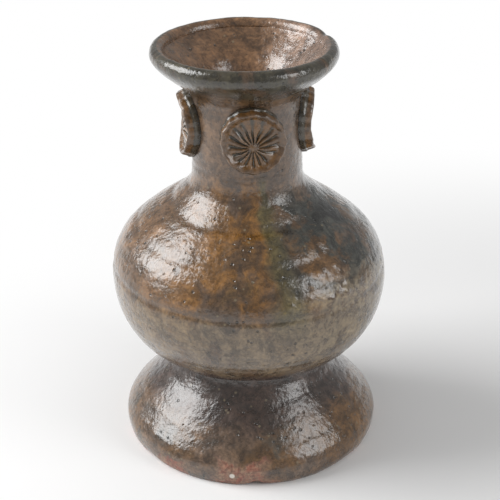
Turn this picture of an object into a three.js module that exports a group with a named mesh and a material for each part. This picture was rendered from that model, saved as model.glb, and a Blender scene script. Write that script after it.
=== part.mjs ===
// A small wheel-thrown stoneware vase: a hollow flared foot, a round body thrown as two bowls, a straight
// neck, a dished mouth with a rounded lip, and four moulded flower rosettes luted round the neck.
// Millimetres, +Z up, origin at the middle of the ring on which the foot stands, -Y towards the viewer.
import * as THREE from "three";

// Foot
const FOOT_BASE_RADIUS = 52; // outer edge of the ring that touches the table
const FOOT_EDGE_RADIUS = 53.6; // widest part of the rounded edge
const FOOT_EDGE_HEIGHT = 6.4;
const FOOT_HEIGHT = 37; // the body is luted on at this height
const FOOT_SHOULDER = 8; // length of the rounded edge's pull, upwards
const FOOT_SWEEP = 9; // length of the waist's pull, downwards
const FOOT_RING_WIDTH = 9; // width of the flat ring underneath
const FOOT_SEAT_WIDTH = 9; // width of the luted face at the waist
const WAIST_RADIUS = 31;

// Body
const BELLY_RADIUS = 56.5;
const BOWL_HEIGHT = 36.5; // from the waist to the seam at the belly
const KEEL_REACH = 16; // pull of the lower curve outwards at the waist
const KEEL_RISE = 6.5;
const BOWL_ROUND = 17.5; // pull of the lower curve below the belly
const BOWL_FLOOR = 8;
const BOWL_HOLLOW_DROP = 22; // pull of the inner curve below the belly
const BOWL_FLOOR_FLAT = 34; // pull of the inner curve along the floor
const BODY_WALL = 6;
const SHOULDER_ROUND = 16; // pull of the upper curve above the belly
const SHOULDER_HEIGHT = 30.2; // from the belly to the straight slope of the shoulder
const SHOULDER_RADIUS = 34; // radius of that slope's middle
const SHOULDER_SLOPE = THREE.MathUtils.degToRad(34.5);
const SHOULDER_PULL = 13.4; // along the slope, towards the belly
const NECK_PULL = 7; // along the slope, towards the neck
const NECK_ROOT_HEIGHT = 14.3; // from the slope's middle to the seam under the neck
const NECK_ROOT_PULL = 5.5;

// Neck and mouth
const NECK_RADIUS = 22;
const NECK_HEIGHT = 31;
const MOUTH_RADIUS = 36.6;
const MOUTH_FLARE_HEIGHT = 17.2; // from the neck to the widest part of the lip
const MOUTH_ROOT_PULL = 6.5;
const MOUTH_LIP_PULL = 5.7;
const LIP_RISE = 3.8; // from the widest part to the crest

// Rosettes
const ROSETTE_COUNT = 4;
const ROSETTE_PETALS = 16;
const ROSETTE_RADIUS = 12.5;
const ROSETTE_ABOVE_NECK_SEAM = 20.3; // from the seam under the neck to the rosettes' middle
const ROSETTE_TURN = THREE.MathUtils.degToRad(7); // the front one stands a little to the right
const ROSETTE_BED = 2.2; // thickness in the troughs between the ribs
const RIB_RELIEF = 1.2;
const BOSS_THICKNESS = 3.1;
const RIM_THICKNESS = 4.9;
const RIM_EDGE_THICKNESS = 3.2;
const SLIP_GAP = 0.3; // the slip between a rosette and the neck

// Facets
const TURN_STEPS = 48;
const CURVE_STEPS = 7;
const LIP_STEPS = 8;

const SEAM_WAIST = FOOT_HEIGHT;
const SEAM_BELLY = SEAM_WAIST + BOWL_HEIGHT;
const SHOULDER_MIDDLE = SEAM_BELLY + SHOULDER_HEIGHT;
const SEAM_NECK = SHOULDER_MIDDLE + NECK_ROOT_HEIGHT;
const SEAM_MOUTH = SEAM_NECK + NECK_HEIGHT;
const LIP_WIDEST = SEAM_MOUTH + MOUTH_FLARE_HEIGHT;

const at = (radius, height) => new THREE.Vector2(radius, height);
const cubic = (...points) => new THREE.CubicBezierCurve(...points);

// The direction in which a curve runs. It is exact at the ends, so that the luted faces come out flat.
function directionAt(curve, t) {
  if (curve.isLineCurve) return curve.v2.clone().sub(curve.v1).normalize();
  const { v0, v1, v2, v3 } = curve;
  const direction = v1.clone().sub(v0).multiplyScalar((1 - t) ** 2);
  direction.addScaledVector(v2.clone().sub(v1), 2 * t * (1 - t));
  return direction.addScaledVector(v3.clone().sub(v2), t ** 2).normalize();
}

// Points along a curve, as { point, inward }, where inward is the unit normal towards the hollow.
function sample(curve, steps = CURVE_STEPS) {
  const found = [];
  for (let i = 0; i <= steps; i++) {
    const direction = directionAt(curve, i / steps);
    found.push({ point: curve.getPoint(i / steps), inward: at(-direction.y, direction.x) });
  }
  return found;
}

// The outside of a wall, and its inside at an even thickness, walked back down.
const outside = (samples) => samples.map((s) => s.point);
const inside = (samples, wall) =>
  samples.map((s) => s.point.clone().addScaledVector(s.inward, wall)).reverse();

// Drops points that fall on the one before, so that no face is empty.
function tidy(points) {
  return points.filter((p, i) => i === 0 || p.distanceTo(points[i - 1]) > 1e-6);
}

// A body turned round Z from a closed outline that is walked up the outside and down the inside.
function thrown(points) {
  const geometry = new THREE.LatheGeometry(tidy(points), TURN_STEPS);
  return geometry.rotateX(Math.PI / 2);
}

const footOutside = cubic(
  at(FOOT_EDGE_RADIUS, FOOT_EDGE_HEIGHT),
  at(FOOT_EDGE_RADIUS, FOOT_EDGE_HEIGHT + FOOT_SHOULDER),
  at(WAIST_RADIUS, SEAM_WAIST - FOOT_SWEEP),
  at(WAIST_RADIUS, SEAM_WAIST),
);

function foot() {
  const ringInside = FOOT_BASE_RADIUS - FOOT_RING_WIDTH;
  const seatInside = WAIST_RADIUS - FOOT_SEAT_WIDTH;
  const base = at(FOOT_BASE_RADIUS, 0);
  const edge = cubic(
    base,
    at(FOOT_BASE_RADIUS + (FOOT_EDGE_RADIUS - FOOT_BASE_RADIUS) * 0.7, FOOT_EDGE_HEIGHT * 0.2),
    at(FOOT_EDGE_RADIUS, FOOT_EDGE_HEIGHT * 0.5),
    at(FOOT_EDGE_RADIUS, FOOT_EDGE_HEIGHT),
  );
  const hollow = cubic(
    at(seatInside, SEAM_WAIST),
    at(seatInside, SEAM_WAIST - FOOT_SWEEP),
    at(ringInside, FOOT_EDGE_HEIGHT + FOOT_SHOULDER),
    at(ringInside, 0),
  );
  return thrown([
    ...outside(sample(edge, 3)),
    ...outside(sample(footOutside, 10)),
    ...outside(sample(hollow)),
    base,
  ]);
}

function bowl() {
  const floor = SEAM_WAIST + BOWL_FLOOR;
  const innerRadius = BELLY_RADIUS - BODY_WALL;
  const outer = cubic(
    at(WAIST_RADIUS, SEAM_WAIST),
    at(WAIST_RADIUS + KEEL_REACH, SEAM_WAIST + KEEL_RISE),
    at(BELLY_RADIUS, SEAM_BELLY - BOWL_ROUND),
    at(BELLY_RADIUS, SEAM_BELLY),
  );
  const inner = cubic(
    at(innerRadius, SEAM_BELLY),
    at(innerRadius, SEAM_BELLY - BOWL_HOLLOW_DROP),
    at(BOWL_FLOOR_FLAT, floor),
    at(0, floor),
  );
  return thrown([at(0, SEAM_WAIST), ...outside(sample(outer, 10)), ...outside(sample(inner))]);
}

function shoulder() {
  const slope = at(Math.cos(SHOULDER_SLOPE), -Math.sin(SHOULDER_SLOPE));
  const middle = at(SHOULDER_RADIUS, SHOULDER_MIDDLE);
  const lower = cubic(
    at(BELLY_RADIUS, SEAM_BELLY),
    at(BELLY_RADIUS, SEAM_BELLY + SHOULDER_ROUND),
    middle.clone().addScaledVector(slope, SHOULDER_PULL),
    middle,
  );
  const upper = cubic(
    middle,
    middle.clone().addScaledVector(slope, -NECK_PULL),
    at(NECK_RADIUS, SEAM_NECK - NECK_ROOT_PULL),
    at(NECK_RADIUS, SEAM_NECK),
  );
  const wall = [...sample(lower), ...sample(upper).slice(1)];
  return thrown([...outside(wall), ...inside(wall, BODY_WALL), at(BELLY_RADIUS, SEAM_BELLY)]);
}

function neck() {
  const wall = sample(new THREE.LineCurve(at(NECK_RADIUS, SEAM_NECK), at(NECK_RADIUS, SEAM_MOUTH)), 4);
  return thrown([...outside(wall), ...inside(wall, BODY_WALL), at(NECK_RADIUS, SEAM_NECK)]);
}

const mouthOutside = cubic(
  at(NECK_RADIUS, SEAM_MOUTH),
  at(NECK_RADIUS, SEAM_MOUTH + MOUTH_ROOT_PULL),
  at(MOUTH_RADIUS, LIP_WIDEST - MOUTH_LIP_PULL),
  at(MOUTH_RADIUS, LIP_WIDEST),
);

function mouth() {
  const wall = sample(mouthOutside);
  const lip = [];
  for (let i = 1; i < LIP_STEPS; i++) {
    const turn = (Math.PI * i) / LIP_STEPS;
    const middle = MOUTH_RADIUS - BODY_WALL / 2;
    lip.push(at(middle + (BODY_WALL / 2) * Math.cos(turn), LIP_WIDEST + LIP_RISE * Math.sin(turn)));
  }
  return thrown([...outside(wall), ...lip, ...inside(wall, BODY_WALL), at(NECK_RADIUS, SEAM_MOUTH)]);
}

// The radius of the neck and of the mouth's flare at a height, which the rosettes are pressed on to.
function neckRadiusAt(height) {
  if (height <= SEAM_MOUTH) return NECK_RADIUS;
  const points = mouthOutside.getPoints(4 * CURVE_STEPS);
  const next = points.findIndex((p) => p.y >= height);
  if (next < 1) return points[points.length - 1].x;
  const share = (height - points[next - 1].y) / (points[next].y - points[next - 1].y);
  return THREE.MathUtils.lerp(points[next - 1].x, points[next].x, share);
}

// A moulded disc with a raised rim, a boss and ribs between the petals, bent round the neck at an azimuth.
// Each ring of points is [share of the radius, thickness on a rib, thickness in a trough].
function rosette(azimuth) {
  const rib = ROSETTE_BED + RIB_RELIEF;
  const face = [
    [0.15, BOSS_THICKNESS, BOSS_THICKNESS],
    [0.28, rib, ROSETTE_BED],
    [0.55, rib, ROSETTE_BED],
    [0.8, rib + 0.4, ROSETTE_BED + 0.4],
    [0.91, RIM_THICKNESS, RIM_THICKNESS],
    [1, RIM_EDGE_THICKNESS, RIM_EDGE_THICKNESS],
  ];
  const back = [1, 0.66, 0.33].map((share) => [share, 0, 0]);
  const rings = [...face, ...back];
  const steps = 2 * ROSETTE_PETALS;
  const middleHeight = SEAM_NECK + ROSETTE_ABOVE_NECK_SEAM;
  const bendRadius = NECK_RADIUS + SLIP_GAP + ROSETTE_BED;

  const place = (share, turn, thickness) => {
    const height = middleHeight + share * ROSETTE_RADIUS * Math.sin(turn);
    const angle = azimuth + (share * ROSETTE_RADIUS * Math.cos(turn)) / bendRadius;
    const radius = neckRadiusAt(height) + SLIP_GAP + thickness;
    return [radius * Math.sin(angle), -radius * Math.cos(angle), height];
  };

  const positions = [place(0, 0, BOSS_THICKNESS)];
  for (const [share, onRib, inTrough] of rings) {
    for (let i = 0; i < steps; i++) {
      positions.push(place(share, (2 * Math.PI * i) / steps, i % 2 ? inTrough : onRib));
    }
  }
  positions.push(place(0, 0, 0));

  const faces = [];
  const last = positions.length - 1;
  const point = (ring, i) => 1 + ring * steps + (i % steps);
  for (let i = 0; i < steps; i++) {
    faces.push(0, point(0, i), point(0, i + 1));
    for (let ring = 0; ring < rings.length - 1; ring++) {
      faces.push(point(ring, i), point(ring + 1, i), point(ring + 1, i + 1));
      faces.push(point(ring, i), point(ring + 1, i + 1), point(ring, i + 1));
    }
    faces.push(point(rings.length - 1, i), last, point(rings.length - 1, i + 1));
  }
  const geometry = new THREE.BufferGeometry();
  geometry.setAttribute("position", new THREE.Float32BufferAttribute(positions.flat(), 3));
  geometry.setIndex(faces);
  return geometry;
}

const glaze = (color, roughness) => new THREE.MeshStandardMaterial({ color, roughness, metalness: 0 });
const brownGlaze = glaze(0x5a4630, 0.3);
const purpleBrownGlaze = glaze(0x4c3f38, 0.32);
const darkGreenGlaze = glaze(0x3f3d2b, 0.22);
const amberGlaze = glaze(0x5c4022, 0.28);

function piece(name, geometry, material) {
  const mesh = new THREE.Mesh(geometry, material);
  mesh.name = name;
  return mesh;
}

const vase = new THREE.Group();
vase.add(
  piece("foot", foot(), purpleBrownGlaze),
  piece("lower_bowl", bowl(), brownGlaze),
  piece("shoulder", shoulder(), brownGlaze),
  piece("neck", neck(), purpleBrownGlaze),
  piece("mouth", mouth(), darkGreenGlaze),
);

const rosetteNames = ["front", "right", "back", "left"];
for (let i = 0; i < ROSETTE_COUNT; i++) {
  const azimuth = ROSETTE_TURN + (2 * Math.PI * i) / ROSETTE_COUNT;
  vase.add(piece(`rosette_${rosetteNames[i] ?? i + 1}`, rosette(azimuth), amberGlaze));
}

export default vase;
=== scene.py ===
"""A small stoneware vase in a mottled brown glaze, standing on a white table.

Metres in the scene, millimetres in the outline, +Z up, -Y towards the viewer. A turn is an angle round the
axis, from 0 at the front towards the right. The five thrown pieces are cut from one skin, so that their
outlines meet at the luted seams.
"""

import itertools
import math
from types import SimpleNamespace

import bpy
import numpy as np
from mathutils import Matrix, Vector


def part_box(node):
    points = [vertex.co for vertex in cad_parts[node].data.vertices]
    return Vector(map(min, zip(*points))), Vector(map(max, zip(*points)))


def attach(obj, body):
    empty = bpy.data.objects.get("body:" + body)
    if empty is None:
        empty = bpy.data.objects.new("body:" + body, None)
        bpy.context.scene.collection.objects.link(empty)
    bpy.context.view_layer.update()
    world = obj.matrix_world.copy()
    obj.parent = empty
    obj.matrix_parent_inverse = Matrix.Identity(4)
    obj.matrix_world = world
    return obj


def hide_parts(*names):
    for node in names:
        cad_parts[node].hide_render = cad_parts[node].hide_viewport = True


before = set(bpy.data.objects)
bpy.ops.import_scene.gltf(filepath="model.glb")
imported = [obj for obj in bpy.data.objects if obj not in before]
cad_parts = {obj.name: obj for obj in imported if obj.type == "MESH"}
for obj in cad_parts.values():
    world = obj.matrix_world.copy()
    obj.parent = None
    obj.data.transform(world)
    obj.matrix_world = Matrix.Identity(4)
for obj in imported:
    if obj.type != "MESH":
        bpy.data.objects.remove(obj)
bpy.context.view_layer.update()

MM = 0.001


def top(node):
    """The height of a node's top, in millimetres."""
    return round(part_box(node)[1].z / MM, 1)


def widest(node):
    """The largest radius of a turned node, in millimetres."""
    return round(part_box(node)[1].x / MM, 1)


def middle_height(node):
    """The height of a node's middle, in millimetres."""
    low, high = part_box(node)
    return round((low.z + high.z) / 2 / MM, 1)


# Room left for the lumps of the glaze where the vase is widest and highest, millimetres
GLAZE_ROOM = 0.3

# Seams and heights, millimetres
SEAM_WAIST = top("foot")
SEAM_BELLY = top("lower_bowl")
SHOULDER_MIDDLE = SEAM_BELLY + 30.2  # middle of the straight slope
SEAM_NECK = top("shoulder")
SEAM_MOUTH = top("neck")
LIP_WIDEST = SEAM_MOUTH + 17.2
HEIGHT = top("mouth") - GLAZE_ROOM

# Foot, millimetres. A pull is how far a curve's handle reaches.
FOOT_BASE_RADIUS = 52.0
FOOT_EDGE_RADIUS = widest("foot")
FOOT_EDGE_HEIGHT = 6.4
FOOT_TOE_REACH = 1.1
FOOT_TOE_RISE = 1.3
FOOT_EDGE_PULL = 3.2
FOOT_SHOULDER = 8.0
FOOT_SWEEP = 9.0
FOOT_RING_WIDTH = 9.0
FOOT_SEAT_WIDTH = 9.0
WAIST_RADIUS = 31.0

# Body, millimetres
BELLY_RADIUS = widest("lower_bowl") - GLAZE_ROOM
KEEL_REACH = 16.0
KEEL_RISE = 6.5
BOWL_ROUND = 17.5
BOWL_FLOOR = 8.0
BOWL_HOLLOW_DROP = 22.0
BOWL_FLOOR_FLAT = 34.0
BODY_WALL = 6.0
SHOULDER_ROUND = 16.0
SHOULDER_RADIUS = 34.0
SHOULDER_SLOPE = math.radians(34.5)
SHOULDER_PULL = 13.4
NECK_PULL = 7.0
NECK_ROOT_PULL = 5.5

# Neck and mouth, millimetres
NECK_RADIUS = widest("neck")
MOUTH_RADIUS = widest("mouth")
MOUTH_ROOT_PULL = 6.5
MOUTH_LIP_PULL = 5.7
LIP_POINTS = 20

# Rosettes, millimetres. A share is a share of the radius, from 0 in the middle to 1 at the edge.
ROSETTE_NAMES = ["front", "right", "back", "left"]
ROSETTE_PETALS = 16
ROSETTE_RADIUS = 13.6
ROSETTE_ROOM = 0.3  # an uneven edge reaches no further than this past the radius
ROSETTE_HEIGHT = middle_height("rosette_front")
ROSETTE_TURN = math.radians(7)
ROSETTE_BED = 3.1  # thickness between the strokes and the rim
ROSETTE_SINK = 0.4  # bedded this deep in the slip on the neck
ROSETTE_BEND = NECK_RADIUS + 2.5  # radius that the face is bent to
FACE_UNEVEN = 0.16
EDGE_UNEVEN = 0.02  # share of the radius
EDGE_LOOP = 7  # radius of the loop on which the edge's lumps are read
EDGE_ZONE = (0.9, 1)  # shares between which the face rounds off
EDGE_THINNING = 0.42  # share of the thickness lost there
PETAL_SWELL = 0.012  # share of the radius
PETAL_RISE = 0.12
PETAL_ZONE = (0.8, 1)  # shares
HUB_DROP = 1.9
HUB_STRAY = 0.4
HUB_RISE = 0.35
HUB_RADIUS = 1.3
STROKE_DEPTH = 1.0
STROKE_SHARPNESS = 2.2
STROKE_STRAY = 0.1  # radians
STROKE_START = (0.9, 2.6)  # millimetres from the hub
STROKE_END = (0.68, 0.8)  # shares
FILLED_SHARE = 0.45  # the glaze fills this share of the upper strokes
FILLED_ZONE = (1, 7)  # heights above the middle between which it comes in
RIM_RISE = 1.8
RIM_SHARE = 0.86
RIM_WIDTH = 0.085
RIM_UNEVEN = 0.22
NICK_PLACE = (10.4, -2.2)
NICK_DEPTH = 0.9
NICK_RADIUS = math.sqrt(0.8)
FACE_RINGS = 51
STEPS_PER_PETAL = 12

# The way round a rosette's edge and across its back, as (share, thickness)
ROSETTE_EDGE = [(1.012, 1.7), (1.02, 0.9), (1.035, 0.35)]
ROSETTE_BACK = [(share, -ROSETTE_SINK) for share in (1.05, 0.7, 0.35)]

# The fine surface, millimetres
TURNS = 480  # points round the vase
SHOWN_SPACING = 0.7  # between rows of points where the surface shows
HIDDEN_SPACING = 1.6
LATTICE = 32  # random values along each side of the block that lumps are made from
TINY = 1e-6

# Swellings of the whole surface, as (size, height, seed)
SWELLINGS = [(44, 0.32, 1), (15, 0.2, 2), (5.5, 0.1, 3), (2.2, 0.05, 4)]

# Marks of the throwing, as (height, depth, width)
GROOVES = [
    (121.5, 0.3, 1.2),
    (112.5, 0.3, 1.6),
    (105.5, 0.7, 1.5),
    (95.5, 0.55, 1.5),
    (87.0, 0.2, 1.4),
    (78.8, 0.75, 1.3),
    (41.5, 0.5, 1.3),
    (28.0, 0.35, 1.2),
    (15.5, 0.3, 1.5),
]
GROOVE_WANDER = 1.4
GROOVE_STRENGTH = 0.55  # the middle of a strength that runs from 0 to twice this
THROWING_PITCH = 3.4
THROWING_DEPTH = 0.03

# Blisters: radians and millimetres, a middle and a spread for the place, and a range for the size
BLISTER_COUNT = 26
BLISTER_TURN = (0.62, 0.22)
BLISTER_HEIGHT = (84, 9)
BLISTER_RADIUS = (0.7, 1.9)
BLISTER_SWELL = (-0.35, 0.5)

# Where the marks and the glaze come to an end, millimetres
MARKS_FADE = (158, 165)  # heights between which the marks fade out under the lip
RING_FADE = (0, 2.5)  # heights between which the glaze comes in above the standing ring

# Lean and wear, millimetres
LEAN = -2.7  # how far the lip leans to the left
LEAN_CURVE = 1.6
LIP_ZONE = (156, 168)  # heights between which the waver of the lip comes in
LIP_WAVER = 0.45
CHIP_TURN = math.radians(113)
CHIP_DEPTH = 1.1
CHIP_WIDTH = 0.09  # radians
WORN_ZONE = (0, 7)  # heights between which the wear of the foot dies out
WORN_DEPTH = 0.9
NOTCH_TURN = math.radians(2.5)
NOTCH_DEPTH = 1.3
NOTCH_WIDTH = 0.055  # radians


def curve(*points, spacing=SHOWN_SPACING):
    """Points along a straight line or a cubic curve, no further apart than the spacing."""
    points = np.array(points, float)
    length = np.linalg.norm(np.diff(points, axis=0), axis=1).sum()
    t = np.linspace(0, 1, max(2, math.ceil(length / spacing)) + 1)[:, None]
    if len(points) == 2:
        return (1 - t) * points[0] + t * points[1]
    a, b, c, d = points
    return (1 - t) ** 3 * a + 3 * (1 - t) ** 2 * t * b + 3 * (1 - t) * t**2 * c + t**3 * d


def hollow_side(points):
    """The inside of a wall of even thickness, walked back down."""
    run = np.gradient(points, axis=0)
    run /= np.linalg.norm(run, axis=1)[:, None]
    run[[0, -1]] = (0, 1)  # upright at the seams, so that the luted faces are level
    return (points + BODY_WALL * np.stack([-run[:, 1], run[:, 0]], axis=1))[::-1]


def shoulder_outline():
    """From the seam at the belly, over the straight slope, to the seam under the neck."""
    slope = np.array([math.cos(SHOULDER_SLOPE), -math.sin(SHOULDER_SLOPE)])
    middle = np.array([SHOULDER_RADIUS, SHOULDER_MIDDLE])
    below = curve(
        (BELLY_RADIUS, SEAM_BELLY),
        (BELLY_RADIUS, SEAM_BELLY + SHOULDER_ROUND),
        middle + SHOULDER_PULL * slope,
        middle,
    )
    above = curve(
        middle,
        middle - NECK_PULL * slope,
        (NECK_RADIUS, SEAM_NECK - NECK_ROOT_PULL),
        (NECK_RADIUS, SEAM_NECK),
    )
    return np.concatenate([below, above[1:]])


def lip_outline():
    """Half an ellipse over the rim, from its outer side to its inner side."""
    turn = np.linspace(0, math.pi, LIP_POINTS)
    radius = MOUTH_RADIUS - BODY_WALL / 2 + BODY_WALL / 2 * np.cos(turn)
    return np.stack([radius, LIP_WIDEST + (HEIGHT - LIP_WIDEST) * np.sin(turn)], axis=1)


def profile():
    """The outline as (radius, height) points, and the rows of each stretch of it.

    It is walked from inside the foot, under it, up the outside, over the lip and down to the floor.
    """
    seat = WAIST_RADIUS - FOOT_SEAT_WIDTH
    ring = FOOT_BASE_RADIUS - FOOT_RING_WIDTH
    floor = SEAM_WAIST + BOWL_FLOOR
    hollow = BELLY_RADIUS - BODY_WALL
    shoulder = shoulder_outline()
    neck = curve((NECK_RADIUS, SEAM_NECK), (NECK_RADIUS, SEAM_MOUTH))
    mouth = curve(
        (NECK_RADIUS, SEAM_MOUTH),
        (NECK_RADIUS, SEAM_MOUTH + MOUTH_ROOT_PULL),
        (MOUTH_RADIUS, LIP_WIDEST - MOUTH_LIP_PULL),
        (MOUTH_RADIUS, LIP_WIDEST),
    )
    stretches = {
        "foot_hollow": curve(
            (seat, SEAM_WAIST),
            (seat, SEAM_WAIST - FOOT_SWEEP),
            (ring, FOOT_EDGE_HEIGHT + FOOT_SHOULDER),
            (ring, 0),
            spacing=HIDDEN_SPACING,
        ),
        "foot_ring": curve((ring, 0), (FOOT_BASE_RADIUS, 0), spacing=HIDDEN_SPACING),
        "foot_edge": curve(
            (FOOT_BASE_RADIUS, 0),
            (FOOT_BASE_RADIUS + FOOT_TOE_REACH, FOOT_TOE_RISE),
            (FOOT_EDGE_RADIUS, FOOT_EDGE_HEIGHT - FOOT_EDGE_PULL),
            (FOOT_EDGE_RADIUS, FOOT_EDGE_HEIGHT),
        ),
        "foot": curve(
            (FOOT_EDGE_RADIUS, FOOT_EDGE_HEIGHT),
            (FOOT_EDGE_RADIUS, FOOT_EDGE_HEIGHT + FOOT_SHOULDER),
            (WAIST_RADIUS, SEAM_WAIST - FOOT_SWEEP),
            (WAIST_RADIUS, SEAM_WAIST),
        ),
        "bowl": curve(
            (WAIST_RADIUS, SEAM_WAIST),
            (WAIST_RADIUS + KEEL_REACH, SEAM_WAIST + KEEL_RISE),
            (BELLY_RADIUS, SEAM_BELLY - BOWL_ROUND),
            (BELLY_RADIUS, SEAM_BELLY),
        ),
        "shoulder": shoulder,
        "neck": neck,
        "mouth": mouth,
        "lip": lip_outline(),
        "mouth_inside": hollow_side(mouth),
        "neck_inside": hollow_side(neck),
        "shoulder_inside": hollow_side(shoulder),
        "bowl_inside": curve(
            (hollow, SEAM_BELLY),
            (hollow, SEAM_BELLY - BOWL_HOLLOW_DROP),
            (BOWL_FLOOR_FLAT, floor),
            (0, floor),
            spacing=HIDDEN_SPACING,
        ),
        "base": np.array([(0, floor), (0, SEAM_WAIST)], float),
    }
    points, rows = [], {}
    for name, stretch in stretches.items():
        first = max(0, len(points) - 1)
        points.extend(stretch[1:] if points else stretch)
        rows[name] = range(first, len(points))
    return np.array(points), rows


PROFILE, ROWS = profile()

# The stretches that start at a luted seam
SEAM_STRETCHES = [
    "foot_hollow",
    "bowl",
    "shoulder",
    "neck",
    "mouth",
    "neck_inside",
    "shoulder_inside",
    "bowl_inside",
]
SEAMS = [ROWS[name][0] for name in SEAM_STRETCHES]


def lumps(points, size, seed):
    """Smooth random values from -1 to 1, one a point, in lumps of about the given size."""
    lattice = np.random.default_rng(seed).uniform(-1, 1, (LATTICE, LATTICE, LATTICE))
    scaled = np.asarray(points) / size
    cell = np.floor(scaled).astype(int)
    share = scaled - cell
    share = share * share * (3 - 2 * share)
    total = 0.0
    for corner in itertools.product((0, 1), repeat=3):
        index = (cell + corner) % LATTICE
        weight = np.prod(np.where(np.array(corner, bool), share, 1 - share), axis=-1)
        total = total + weight * lattice[index[..., 0], index[..., 1], index[..., 2]]
    return total


def rise(value, low, high):
    """A smooth step from 0 at low to 1 at high."""
    share = np.clip((value - low) / (high - low), 0, 1)
    return share * share * (3 - 2 * share)


def bump(value, middle, width):
    """1 at the middle, and falling smoothly to nothing on both sides of it."""
    return np.exp(-(((value - middle) / width) ** 2))


def polar(turn, radius, height):
    """The point at a turn, a radius and a height."""
    return np.stack([radius * np.sin(turn), -radius * np.cos(turn), height], axis=-1)


def turn_of(points):
    """The turn at which each point lies."""
    return np.arctan2(points[..., 0], -points[..., 1])


def blisters():
    """Bubbles that broke in the glaze on the right of the body, as (turn, height, radius, swell)."""
    random = np.random.default_rng(21)
    found = []
    for _ in range(BLISTER_COUNT):
        turn = random.normal(*BLISTER_TURN)
        height = random.normal(*BLISTER_HEIGHT)
        radius = random.uniform(*BLISTER_RADIUS)
        swell = random.uniform(*BLISTER_SWELL)
        found.append((turn, height, radius, swell))
    return found


BLISTERS = blisters()


def relief(points, marked):
    """How far the glaze stands proud of the drawn outline, in millimetres.

    The grooves and blisters count by the share in marked: 1 where they show, 0 where there are none.
    """
    turn = turn_of(points)
    height = points[..., 2]
    proud = sum(swell * lumps(points, size, seed) for size, swell, seed in SWELLINGS)
    wander = GROOVE_WANDER * lumps(points, size=38, seed=5)
    strength = GROOVE_STRENGTH * (1 + lumps(points, size=24, seed=6))
    rounds = height / THROWING_PITCH + turn / (2 * math.pi)
    marks = THROWING_DEPTH * np.sin(2 * math.pi * rounds)
    for middle, depth, width in GROOVES:
        marks = marks - depth * strength * bump(height + wander, middle, width)
    for place, middle, radius, swell in BLISTERS:
        away = np.hypot((turn - place) * BELLY_RADIUS, height - middle)
        marks = marks + swell * bump(away, 0, radius)
    return proud + marks * marked


def lean(height):
    """How far the vase leans sideways at a height, in millimetres."""
    return LEAN * np.clip(height / HEIGHT, 0, 1) ** LEAN_CURVE


def settle(points):
    """Leans the vase, wavers and chips its lip, and wears the edge of its foot."""
    turn = turn_of(points)
    height = points[..., 2]
    waver = LIP_WAVER * lumps(points, size=26, seed=7) - CHIP_DEPTH * bump(turn, CHIP_TURN, CHIP_WIDTH)
    worn = WORN_DEPTH * np.clip(lumps(points, size=11, seed=8), 0, 1)
    worn = worn + NOTCH_DEPTH * bump(turn, NOTCH_TURN, NOTCH_WIDTH)
    settled = points.copy()
    settled[..., 0] += lean(height)
    settled[..., 2] += rise(height, *LIP_ZONE) * waver + (1 - rise(height, *WORN_ZONE)) * worn
    return settled


def make_skin():
    """The whole surface as a grid of points in metres, rows by turns, and its normals."""
    run = np.gradient(PROFILE, axis=0)
    across = np.stack([run[:, 1], -run[:, 0]], axis=1)
    across /= np.linalg.norm(across, axis=1)[:, None]
    # At a seam the glaze stands out level, so that the luted faces stay flat
    across[SEAMS, 0] = np.sign(across[SEAMS, 0])
    across[SEAMS, 1] = 0
    turn = np.linspace(0, 2 * math.pi, TURNS, endpoint=False)
    radius = np.repeat(PROFILE[:, :1], TURNS, axis=1)
    height = np.repeat(PROFILE[:, 1:], TURNS, axis=1)

    marked = np.zeros((len(PROFILE), TURNS))
    marked[ROWS["foot_edge"][0]: ROWS["lip"][0]] = 1
    marked *= 1 - rise(height, *MARKS_FADE)
    proud = relief(polar(turn, radius, height), marked) * rise(height, *RING_FADE)
    radius = radius + proud * across[:, :1] * (radius > 0)
    height = height + proud * across[:, 1:]
    points = settle(polar(turn, radius, height)) * MM

    along = np.gradient(points, axis=0)
    around = np.roll(points, -1, axis=1) - np.roll(points, 1, axis=1)
    normals = np.cross(around, along)
    size = np.linalg.norm(normals, axis=-1, keepdims=True)
    shrunk = size[..., 0] < TINY**2  # where a row is a single point on the axis
    normals = normals / np.maximum(size, TINY**2)
    normals[shrunk] = (0, 0, 1)
    return points, normals


SKIN, NORMALS = make_skin()


def on_axis(row):
    """Whether a row of the skin is a single point on the axis."""
    return PROFILE[row][0] < TINY


def new_piece(node, points, faces, normals, material):
    """A finished piece that stands for a CAD node."""
    mesh = bpy.data.meshes.new(f"{node}_glazed")
    mesh.from_pydata(points.tolist(), [], faces)
    mesh.shade_smooth()
    if normals is not None:
        mesh.normals_split_custom_set(normals.tolist())
    mesh.materials.append(material)
    piece = bpy.data.objects.new(f"{node}_glazed", mesh)
    bpy.context.scene.collection.objects.link(piece)
    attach(piece, "root")
    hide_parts(node)


def thrown_piece(node, rows, material):
    """A closed piece made from rows of the skin. Where rows are left out, a flat luted face closes it."""
    rings = [SKIN[row].mean(axis=0, keepdims=True) if on_axis(row) else SKIN[row] for row in rows]
    starts = dict(zip(rows, np.cumsum([0] + [len(ring) for ring in rings[:-1]])))
    here = np.arange(TURNS)
    after = (here + 1) % TURNS
    faces, normals = [], []
    for row, next_row in zip(rows, rows[1:] + rows[:1]):
        if on_axis(row) and on_axis(next_row):
            continue
        corners = [(row, here)] if on_axis(row) else [(row, here), (row, after)]
        corners += [(next_row, after)] if on_axis(next_row) else [(next_row, after), (next_row, here)]
        ids = [starts[at] + (0 * turn if on_axis(at) else turn) for at, turn in corners]
        faces.extend(np.stack(ids, axis=1).tolist())
        if next_row == row + 1:
            found = [NORMALS[at, turn] for at, turn in corners]
        else:
            upward = -np.sign(PROFILE[next_row][0] - PROFILE[row][0])
            found = [np.tile((0.0, 0.0, upward), (TURNS, 1))] * len(corners)
        normals.append(np.stack(found, axis=1).reshape(-1, 3))
    points = np.concatenate(rings)
    new_piece(node, points, faces, np.concatenate(normals), material)


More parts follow.
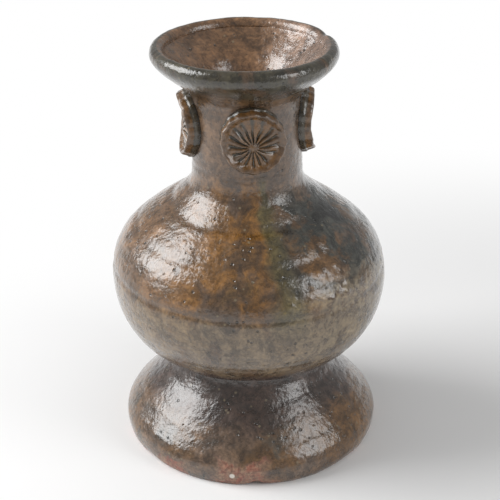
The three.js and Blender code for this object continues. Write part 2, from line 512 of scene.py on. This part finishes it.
def stretch(*names):
    """The rows of some stretches of the outline that follow one another."""
    return list(range(ROWS[names[0]][0], ROWS[names[-1]][-1] + 1))


def neck_radius_at(height):
    """The radius of the neck and the mouth's flare, which the rosettes are pressed on to."""
    rows = list(ROWS["neck"]) + list(ROWS["mouth"])[1:]
    return np.interp(height, PROFILE[rows, 1], PROFILE[rows, 0])


def rosette_thickness(u, v, share, index):
    """The thickness of a rosette in millimetres, at places u to the right of its middle and v above it.

    The index moves the lumps along, so that no two rosettes are alike.
    """
    here = np.stack([u, v, np.full_like(u, 40.0 * index)], axis=-1)
    hub_u = u - HUB_STRAY * lumps([0, 0, 9.1 * index], size=5, seed=30)
    hub_v = v + HUB_DROP
    reach = np.hypot(hub_u, hub_v)
    ray = np.arctan2(hub_v, hub_u) + STROKE_STRAY * lumps(here, size=4, seed=31)
    stroke = (0.5 + 0.5 * np.cos(ROSETTE_PETALS * ray)) ** STROKE_SHARPNESS
    depth = rise(reach, *STROKE_START) * (1 - rise(share, *STROKE_END))
    depth *= 1 - FILLED_SHARE * rise(v, *FILLED_ZONE)
    rim = bump(share, RIM_SHARE, RIM_WIDTH) * (1 + RIM_UNEVEN * lumps(here, size=5, seed=32))
    thickness = ROSETTE_BED - STROKE_DEPTH * stroke * depth + RIM_RISE * rim
    thickness += HUB_RISE * bump(reach, 0, HUB_RADIUS) + FACE_UNEVEN * lumps(here, size=3, seed=33)
    thickness += PETAL_RISE * np.cos(ROSETTE_PETALS * np.arctan2(v, u)) * rise(share, *PETAL_ZONE)
    if index == 0:
        away = np.hypot(u - NICK_PLACE[0], v - NICK_PLACE[1])
        thickness -= NICK_DEPTH * bump(away, 0, NICK_RADIUS)
    return thickness * (1 - EDGE_THINNING * rise(share, *EDGE_ZONE))


def rosette(index, material):
    """A moulded flower, bent round the neck and bedded in it."""
    azimuth = ROSETTE_TURN + 2 * math.pi * index / len(ROSETTE_NAMES)
    steps = STEPS_PER_PETAL * ROSETTE_PETALS
    around = np.linspace(0, 2 * math.pi, steps, endpoint=False)
    loop = polar(around + math.pi / 2, EDGE_LOOP, np.full(steps, 31.0 * index))
    edge = ROSETTE_RADIUS * (1 + PETAL_SWELL * np.cos(ROSETTE_PETALS * around))
    edge *= 1 - EDGE_UNEVEN + EDGE_UNEVEN * lumps(loop, size=6, seed=34)

    def ring(share, thickness=None):
        """Points at a share of the radius, on the face or at another thickness."""
        reach = np.minimum(share * edge, ROSETTE_RADIUS + ROSETTE_ROOM)
        u, v = reach * np.cos(around), reach * np.sin(around)
        if thickness is None:
            thickness = rosette_thickness(u, v, np.full(steps, share), index)
        height = ROSETTE_HEIGHT + v
        turn = azimuth + u / ROSETTE_BEND
        base = neck_radius_at(height)
        radius = base + relief(polar(turn, base, height), 1.0) + thickness
        return settle(polar(turn, radius, height)) * MM

    rings = [ring(share) for share in np.linspace(0, 1, FACE_RINGS + 1)[1:]]
    rings += [ring(share, thickness) for share, thickness in ROSETTE_EDGE + ROSETTE_BACK]
    middle = ring(TINY).mean(axis=0, keepdims=True)
    back = ring(TINY, -ROSETTE_SINK).mean(axis=0, keepdims=True)
    points = np.concatenate([middle, *rings, back])

    here = np.arange(steps)
    after = (here + 1) % steps
    starts = [1 + number * steps for number in range(len(rings))]
    last = np.full(steps, len(points) - 1)
    faces = np.stack([0 * here, starts[0] + here, starts[0] + after], axis=1).tolist()
    for inner, outer in zip(starts, starts[1:]):
        faces += np.stack([inner + here, outer + here, outer + after, inner + after], axis=1).tolist()
    faces += np.stack([starts[-1] + here, last, starts[-1] + after], axis=1).tolist()
    new_piece(f"rosette_{ROSETTE_NAMES[index]}", points, faces, None, material)


# Colours of the glaze and the clay, some of them used for painted shade and light
UMBER = (0.122, 0.063, 0.023)
MAUVE = (0.118, 0.074, 0.046)
AMBER = (0.17, 0.077, 0.015)
HONEY = (0.25, 0.14, 0.045)
PLUM_SHADE = (0.048, 0.03, 0.024)
SLATE = (0.036, 0.043, 0.038)
OLIVE = (0.085, 0.072, 0.028)
BLACK = (0.01, 0.009, 0.007)
STRAW = (0.26, 0.21, 0.13)
PUTTY = (0.15, 0.112, 0.067)
ROSE_LIT = (0.27, 0.18, 0.135)
RUSSET = (0.175, 0.09, 0.04)
MOSS = (0.03, 0.029, 0.017)
CLAY = (0.26, 0.088, 0.055)
CLAY_UNDER = (0.3, 0.19, 0.125)
QUARTZ = (0.75, 0.7, 0.63)
WHITE = (1, 1, 1)
TABLE_WHITE = (0.93, 0.93, 0.93)

# Gloss
GLAZE_IOR = 1.56
COAT_WEIGHT = 0.85
COAT_ROUGHNESS = 0.1
CLAY_ROUGHNESS = 0.85
BODY_PEEL = 0.00036  # depth of the orange peel, metres
ROSETTE_PEEL = 0.0003

# Noises that break up the glaze, as (lumps a metre, detail, roughness)
DRIFT = (65, 3, 0.55)
CLOUD = (36, 5, 0.6)
PATCH = (75, 5, 0.65)
RUN = (110, 5, 0.6)
FLECK = (210, 6, 0.7)
PEEL = (430, 3, 0.55)
SPECK = (820, 4, 0.65)
ROSETTE_CLOUD = (120, 5, 0.6)
ROSETTE_FLECK = (330, 5, 0.65)
ROSETTE_SPECK = (1000, 4, 0.6)

DRIFT_REACH = (0.016, 0.016, 0.012)  # how far the edges of the colours stray, metres
RUN_STRETCH = (1, 1, 0.25)  # runs are four times as high as they are wide
PATCH_SHIFT = (0.3, 0.1, 0.7)  # the shifts keep patches and pale spots apart from the rest
PALE_SHIFT = (0.5, 0.2, 0.1)
FLAT = (1, 1, 0)
QUARTZ_PLACE = (-0.0075, -0.0525, 0.005)  # a grain in the bare clay, metres
PITS = 260  # cells a metre
PALE_SPOTS = 190


class Paint:
    """The nodes of a material or a world, and short ways to add them. Lengths in it are metres."""

    def __init__(self, owner):
        owner.use_nodes = True
        self.owner = owner
        self.tree = owner.node_tree
        self.tree.nodes.clear()

    def add(self, kind, inputs=None, **settings):
        """A new node. An input is given another node's socket or a constant, a colour as three numbers."""
        node = self.tree.nodes.new(kind)
        for name, value in settings.items():
            setattr(node, name, value)
        for key, value in (inputs or {}).items():
            socket = node.inputs[key]
            if isinstance(value, bpy.types.NodeSocket):
                self.tree.links.new(value, socket)
            else:
                socket.default_value = (*value, 1.0) if socket.type == "RGBA" else value
        return node

    def point(self):
        """The place on the vase."""
        return self.add("ShaderNodeTexCoord").outputs["Object"]

    def number(self, operation, *values):
        return self.add("ShaderNodeMath", dict(enumerate(values)), operation=operation).outputs[0]

    def chain(self, operation, first, *others):
        for other in others:
            first = self.number(operation, first, other)
        return first

    def product(self, *values):
        return self.chain("MULTIPLY", *values)

    def highest(self, *values):
        return self.chain("MAXIMUM", *values)

    def vector(self, operation, *values):
        node = self.add("ShaderNodeVectorMath", dict(enumerate(values)), operation=operation)
        return node.outputs["Value" if operation in ("DOT_PRODUCT", "LENGTH") else "Vector"]

    def noise(self, point, scale, detail, roughness, colour=False):
        inputs = {"Vector": point, "Scale": scale, "Detail": detail, "Roughness": roughness}
        return self.add("ShaderNodeTexNoise", inputs).outputs[1 if colour else 0]

    def cells(self, point, scale):
        return self.add("ShaderNodeTexVoronoi", {"Vector": point, "Scale": scale}).outputs["Distance"]

    def step(self, value, low, high, to_low=0.0, to_high=1.0):
        """A smooth step from to_low where the value is low to to_high where it is high."""
        inputs = {"Value": value, "From Min": low, "From Max": high, "To Min": to_low, "To Max": to_high}
        return self.add("ShaderNodeMapRange", inputs, interpolation_type="SMOOTHSTEP").outputs[0]

    def window(self, value, low, high, soft):
        """1 where the value lies between low and high, with soft edges."""
        up = self.step(value, low - soft, low + soft)
        return self.product(up, self.step(value, high + soft, high - soft))

    def fade(self, length, none, full):
        """From 0 at one length to 1 at the other, in millimetres."""
        return self.step(length, none * MM, full * MM)

    def band(self, length, low, high, soft):
        """A window in millimetres."""
        return self.window(length, low * MM, high * MM, soft * MM)

    def mix(self, share, a, b, blend="MIX"):
        """One colour laid over another."""
        inputs = {0: share, 6: a, 7: b}  # the node has a pair of inputs for each type
        return self.add("ShaderNodeMix", inputs, data_type="RGBA", blend_type=blend).outputs[2]

    def between(self, share, a, b):
        """A number between two others."""
        return self.add("ShaderNodeMix", {0: share, 2: a, 3: b}).outputs[0]

    def mottle(self, colour, noise, dark, bright, low=0.3, high=0.7):
        """The colour made darker where the noise is low and brighter where it is high."""
        return self.mix(1.0, colour, self.step(noise, low, high, dark, bright), "MULTIPLY")

    def layer(self, colour, tint, strength, *masks):
        """A tint laid over the colour where all the masks are 1."""
        return self.mix(self.product(*masks, strength), colour, tint)

    def glossy(self, colour, roughness, bumps, depth):
        """The finished glaze: a coated surface with fine bumps of the given depth."""
        inputs = {"Strength": 1.0, "Distance": depth, "Height": bumps}
        normal = self.add("ShaderNodeBump", inputs).outputs[0]
        shader = self.add("ShaderNodeBsdfPrincipled", {
            "Base Color": colour,
            "Roughness": roughness,
            "IOR": GLAZE_IOR,
            "Normal": normal,
            "Coat Weight": COAT_WEIGHT,
            "Coat Roughness": COAT_ROUGHNESS,
            "Coat Normal": normal,
        })
        return self.finish(shader.outputs[0])

    def finish(self, surface, kind="Material"):
        """Links the surface to the output, and gives back the material or the world."""
        self.add(f"ShaderNodeOutput{kind}", {0: surface})
        return self.owner


def glaze_fields(paint):
    """What the brown glaze depends on: the strayed place on the vase, its side, and noises."""
    point = paint.point()
    drift = paint.vector("SUBTRACT", paint.noise(point, *DRIFT, colour=True), (0.5, 0.5, 0.5))
    place = paint.vector("MULTIPLY_ADD", drift, DRIFT_REACH, point)
    x, y, height = paint.add("ShaderNodeSeparateXYZ", {0: place}).outputs
    outward = paint.vector("NORMALIZE", paint.vector("MULTIPLY", point, FLAT))
    facing = paint.vector("DOT_PRODUCT", paint.add("ShaderNodeNewGeometry").outputs["Normal"], outward)
    inside = paint.step(facing, 0.02, -0.3)
    return SimpleNamespace(
        point=point,
        x=x,
        height=height,
        turn=paint.number("ARCTAN2", x, paint.number("MULTIPLY", y, -1.0)),
        inside=inside,
        outside=paint.number("SUBTRACT", 1.0, inside),
        cloud=paint.noise(place, *CLOUD),
        patch=paint.noise(paint.vector("ADD", place, PATCH_SHIFT), *PATCH),
        fleck=paint.noise(place, *FLECK),
        speck=paint.noise(point, *SPECK),
        run=paint.noise(paint.vector("MULTIPLY", place, RUN_STRETCH), *RUN),
    )


def glaze_colour(paint, field):
    """The glaze as it was laid on, one colour over another, from the ground up, with layers of painted
    shade and painted light among them.
    """
    turn, height, inside, outside = field.turn, field.height, field.inside, field.outside
    cloud, patch, fleck, run = field.cloud, field.patch, field.fleck, field.run

    # Sides of the vase, by their turns in radians
    front = paint.window(turn, -0.62, 0.52, 0.22)
    front_right = paint.window(turn, 0.18, 0.4, 0.07)
    right = paint.window(turn, 0.42, 1.9, 0.2)
    left = paint.window(turn, -2.2, -0.55, 0.25)
    rear = paint.step(paint.number("ABSOLUTE", turn), 1.9, 2.4)

    pooled = paint.step(run, 0.36, 0.56)
    body = paint.band(height, 47, 118, 4)
    # Each layer is a colour, its strength, and the masks that place it
    layers = [
        (AMBER, 0.92, front, paint.band(height, 77, 124, 6), pooled),
        (HONEY, 0.5, front, paint.band(height, 80, 118, 4), paint.step(patch, 0.56, 0.68)),
        (OLIVE, 0.85, front_right, paint.band(height, 70, 122, 6)),
        (RUSSET, 0.6, left, body, paint.step(patch, 0.42, 0.6)),
        (AMBER, 0.7, rear, body, pooled),
        (MAUVE, 0.65, paint.band(height, 119, 152, 4), paint.step(cloud, 0.36, 0.5)),
        (SLATE, 0.9, right, paint.band(height, 84, 114, 6), paint.step(patch, 0.4, 0.52)),
        (BLACK, 0.85, right, paint.band(height, 82, 108, 5), paint.step(patch, 0.53, 0.6)),
        # partly glaze colour and partly a painted highlight: pale straw on the right of the lower belly,
        # where the right softbox's highlight falls
        (STRAW, 0.62, right, paint.band(height, 58, 87, 6), paint.step(fleck, 0.38, 0.6)),
        (PUTTY, 0.72, paint.band(height, 47, 76.5, 3.5), paint.step(run, 0.3, 0.55)),
        # painted shade: a dark plum band round the waist, for the shade and the dark reflection under the
        # overhanging body
        (PLUM_SHADE, 0.9, paint.band(height, 20, 48, 4), outside),
        (SLATE, 0.65, paint.fade(height, 30, 12), paint.step(patch, 0.52, 0.66)),
        (PUTTY, 0.45, paint.fade(height, 22, 6), paint.step(cloud, 0.56, 0.72)),
        (AMBER, 0.6, right, paint.fade(height, 30, 14), paint.step(cloud, 0.44, 0.56)),
        (MOSS, 0.9, paint.band(height, 157, 180, 3), outside, paint.step(run, 0.3, 0.5)),
        (RUSSET, 0.85, paint.fade(height, 145, 150), inside),
        # painted light: the inside of the mouth made paler on its right, where the left softbox shines in
        (ROSE_LIT, 0.75, paint.fade(height, 147, 153), inside, paint.step(field.x, 0.0, 0.02)),
    ]
    for middle, _, width in GROOVES:
        groove = paint.band(height, middle - 0.6 * width, middle + 0.6 * width, 0.9 * width)
        layers.append((BLACK, 0.5, groove, outside, paint.step(fleck, 0.3, 0.62)))

    colour = paint.mix(paint.step(cloud, 0.4, 0.6), MAUVE, UMBER)
    for tint, strength, *masks in layers:
        colour = paint.layer(colour, tint, strength, *masks)
    colour = paint.mottle(colour, run, 0.74, 1.26, 0.34, 0.66)
    colour = paint.mottle(colour, fleck, 0.52, 1.55)
    return paint.mottle(colour, field.speck, 0.7, 1.3)


def bare_clay(paint, field):
    """Where the glaze missed or wore off: the share of bare clay and its colour."""
    stray = paint.product(paint.number("SUBTRACT", field.fleck, 0.5), 12 * MM)
    edge = paint.number("ADD", field.height, stray)
    in_front = paint.product(paint.window(field.turn, -0.27, 0.16, 0.05), paint.fade(edge, 12.5, 10.5))
    on_left = paint.product(paint.window(field.turn, -0.78, -0.52, 0.05), paint.fade(edge, 6, 4.5))
    under = paint.product(field.inside, paint.fade(field.height, 39, 36))
    standing = paint.fade(field.height, 1.2, 0.3)
    colour = paint.mix(paint.step(field.fleck, 0.35, 0.65), CLAY, CLAY_UNDER)
    colour = paint.mottle(colour, field.speck, 0.55, 1.35)
    return paint.highest(in_front, on_left, under, standing), colour


def brown_glaze():
    """The mottled glaze of the thrown pieces, thick and amber in front, with painted shade darkening the
    waist under the body.
    """
    paint = Paint(bpy.data.materials.new("brown_glaze"))
    field = glaze_fields(paint)
    colour = glaze_colour(paint, field)
    pit_cells = paint.cells(field.point, PITS)
    pits = paint.product(paint.step(pit_cells, 0.2, 0.1), paint.step(field.patch, 0.46, 0.56))
    colour = paint.layer(colour, BLACK, 0.75, pits)
    pale_cells = paint.cells(paint.vector("ADD", field.point, PALE_SHIFT), PALE_SPOTS)
    colour = paint.layer(colour, STRAW, 0.6, paint.step(pale_cells, 0.13, 0.06))
    clay, clay_colour = bare_clay(paint, field)
    colour = paint.mix(clay, colour, clay_colour)
    from_quartz = paint.vector("LENGTH", paint.vector("SUBTRACT", field.point, QUARTZ_PLACE))
    colour = paint.mix(paint.fade(from_quartz, 1.4, 0.9), colour, QUARTZ)

    roughness = paint.between(clay, paint.step(field.fleck, 0.35, 0.7, 0.22, 0.4), CLAY_ROUGHNESS)
    peel = paint.product(paint.noise(field.point, *PEEL), 0.85)
    peel = paint.number("ADD", peel, paint.product(field.speck, 0.2))
    peel = paint.number("SUBTRACT", peel, paint.product(pits, 0.5))
    return paint.glossy(colour, roughness, peel, BODY_PEEL)


def amber_glaze():
    """The glaze on the rosettes, dark where it ran into the strokes and thin on the ribs, with painted
    shade on the edge where it meets the neck.
    """
    paint = Paint(bpy.data.materials.new("amber_glaze"))
    point = paint.point()
    upright = paint.vector("ADD", point, (-float(lean(ROSETTE_HEIGHT)) * MM, 0, 0))
    from_axis = paint.vector("LENGTH", paint.vector("MULTIPLY", upright, FLAT))
    lift = paint.number("SUBTRACT", from_axis, NECK_RADIUS * MM)
    cloud = paint.noise(point, *ROSETTE_CLOUD)
    fleck = paint.noise(point, *ROSETTE_FLECK)
    speck = paint.noise(point, *ROSETTE_SPECK)
    colour = paint.mix(paint.step(cloud, 0.42, 0.6), UMBER, AMBER)
    colour = paint.layer(colour, MOSS, 0.85, paint.fade(lift, 3.1, 2.4))
    colour = paint.layer(colour, MAUVE, 0.6, paint.fade(lift, 3.6, 4.7))
    # painted shade: black on the rosette's edge, where it curls down into the crease against the neck
    colour = paint.layer(colour, BLACK, 0.7, paint.fade(lift, 1.2, 0.3))
    colour = paint.mottle(colour, fleck, 0.65, 1.4)
    colour = paint.mottle(colour, speck, 0.75, 1.25)
    peel = paint.number("ADD", paint.product(fleck, 0.5), paint.product(speck, 0.4))
    return paint.glossy(colour, paint.step(fleck, 0.35, 0.7, 0.2, 0.4), peel, ROSETTE_PEEL)


# The studio: metres, degrees and watts. Azimuth 0 is in front of the vase and 90 on its right.
FLOOR_HALF = 3.0
SHADOW_MIDDLE = (0.11, -0.03, 0.0)
SHADOW_REACH = (0.15, 0.34)  # the floor turns plain white between these distances
LIGHT_AIM = Vector((0, 0, 0.08))
SOFTBOXES = {
    "softbox_left": dict(azimuth=-93, elevation=36, distance=0.9, width=0.62, height=0.66, power=8.6),
    "softbox_right": dict(azimuth=64, elevation=30, distance=1.0, width=0.42, height=0.56, power=2.9),
}
SURROUND_STRENGTH = 0.34
CAMERA_PLACE = (-0.0003, -0.4845, 0.3297)
CAMERA_DOWN = math.radians(27.215)
CAMERA_LENS = 94.85  # millimetres
CAMERA_SENSOR = 36


def white_floor():
    """A white table that keeps the shadow near the vase, and is plain white further off."""
    paint = Paint(bpy.data.materials.new("white_floor"))
    path = paint.add("ShaderNodeLightPath").outputs
    seen = paint.highest(path["Is Camera Ray"], path["Is Glossy Ray"])
    away = paint.vector("LENGTH", paint.vector("SUBTRACT", paint.point(), SHADOW_MIDDLE))
    share = paint.product(seen, paint.step(away, *SHADOW_REACH))
    diffuse = paint.add("ShaderNodeBsdfDiffuse", {"Color": TABLE_WHITE}).outputs[0]
    glow = paint.add("ShaderNodeEmission", {"Color": WHITE, "Strength": 1.0}).outputs[0]
    return paint.finish(paint.add("ShaderNodeMixShader", {0: share, 1: diffuse, 2: glow}).outputs[0])


def white_surround():
    """Plain white behind the vase, and a dimmer white in what lights it."""
    paint = Paint(bpy.data.worlds.new("studio"))
    seen = paint.add("ShaderNodeLightPath").outputs["Is Camera Ray"]
    dim = paint.add("ShaderNodeBackground", {"Color": WHITE, "Strength": SURROUND_STRENGTH}).outputs[0]
    plain = paint.add("ShaderNodeBackground", {"Color": WHITE, "Strength": 1.0}).outputs[0]
    mixed = paint.add("ShaderNodeMixShader", {0: seen, 1: dim, 2: plain}).outputs[0]
    return paint.finish(mixed, "World")


def make_vase():
    glaze = brown_glaze()
    thrown_piece("foot", stretch("foot_hollow", "foot"), glaze)
    base = ROWS["base"][-1]
    thrown_piece("lower_bowl", [base, *stretch("bowl"), *stretch("bowl_inside")], glaze)
    thrown_piece("shoulder", stretch("shoulder") + stretch("shoulder_inside"), glaze)
    thrown_piece("neck", stretch("neck") + stretch("neck_inside"), glaze)
    thrown_piece("mouth", stretch("mouth", "mouth_inside"), glaze)
    amber = amber_glaze()
    for index in range(len(ROSETTE_NAMES)):
        rosette(index, amber)


def softbox(name, azimuth, elevation, distance, width, height, power):
    """An area light that faces the vase."""
    a, e = math.radians(azimuth), math.radians(elevation)
    away = Vector((math.sin(a) * math.cos(e), -math.cos(a) * math.cos(e), math.sin(e)))
    light = bpy.data.lights.new(name, "AREA")
    light.shape = "RECTANGLE"
    light.size = width
    light.size_y = height
    light.energy = power
    lamp = bpy.data.objects.new(name, light)
    lamp.location = LIGHT_AIM + distance * away
    lamp.rotation_euler = away.to_track_quat("Z", "Y").to_euler()
    bpy.context.scene.collection.objects.link(lamp)


def make_studio():
    mesh = bpy.data.meshes.new("floor")
    corners = [(-1, -1, 0), (1, -1, 0), (1, 1, 0), (-1, 1, 0)]
    mesh.from_pydata([FLOOR_HALF * Vector(corner) for corner in corners], [], [(0, 1, 2, 3)])
    mesh.materials.append(white_floor())
    floor = bpy.data.objects.new("floor", mesh)
    bpy.context.scene.collection.objects.link(floor)
    for name, settings in SOFTBOXES.items():
        softbox(name, **settings)
    bpy.context.scene.world = white_surround()


def make_camera():
    """The photograph's view, from in front and about 27 degrees above."""
    data = bpy.data.cameras.new("camera")
    data.sensor_width = CAMERA_SENSOR
    data.lens = CAMERA_LENS
    camera = bpy.data.objects.new("camera", data)
    camera.location = CAMERA_PLACE
    camera.rotation_euler = (math.radians(90) - CAMERA_DOWN, 0, 0)
    bpy.context.scene.collection.objects.link(camera)
    bpy.context.scene.camera = camera


make_camera()
make_vase()
make_studio()
bpy.context.scene.view_settings.view_transform = "Standard"
